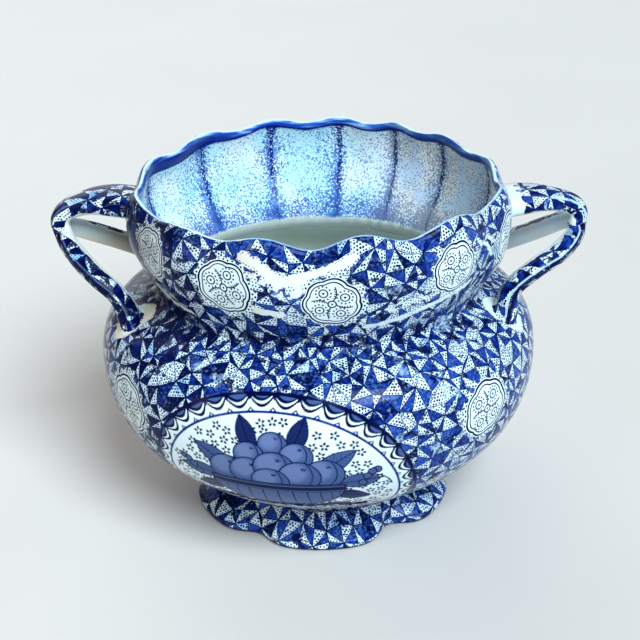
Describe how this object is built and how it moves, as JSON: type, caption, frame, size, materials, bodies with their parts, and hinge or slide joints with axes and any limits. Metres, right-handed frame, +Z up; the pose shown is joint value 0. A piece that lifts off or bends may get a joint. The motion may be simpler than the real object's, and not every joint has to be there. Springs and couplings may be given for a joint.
{
  "type": "jardiniere",
  "caption": "Two-handled earthenware jardiniere with a lobed foot ring, a swelling bowl, a narrow waist, a wavy collar and forked loop handles.",
  "frame": {"origin": "on the table under the middle of the pot", "axes": "+X towards the right handle as seen from the front, +Y towards the back, +Z up"},
  "size_m": [0.3268, 0.27, 0.2136],
  "materials": {
    "printed_glaze": "gloss glaze over a blue printed pattern on white",
    "collar_glaze": "gloss glaze over a blue printed pattern outside and sponged blue inside",
    "handle_glaze": "gloss glaze over a blue printed pattern, cream on the inner faces"
  },
  "bodies": {
    "root": {"foot_ring": "printed_glaze", "bowl": "printed_glaze", "collar": "collar_glaze", "handle_left_arm": "handle_glaze", "handle_left_front_leg": "handle_glaze", "handle_left_back_leg": "handle_glaze", "handle_right_arm": "handle_glaze", "handle_right_front_leg": "handle_glaze", "handle_right_back_leg": "handle_glaze"}
  },
  "joints": []
}
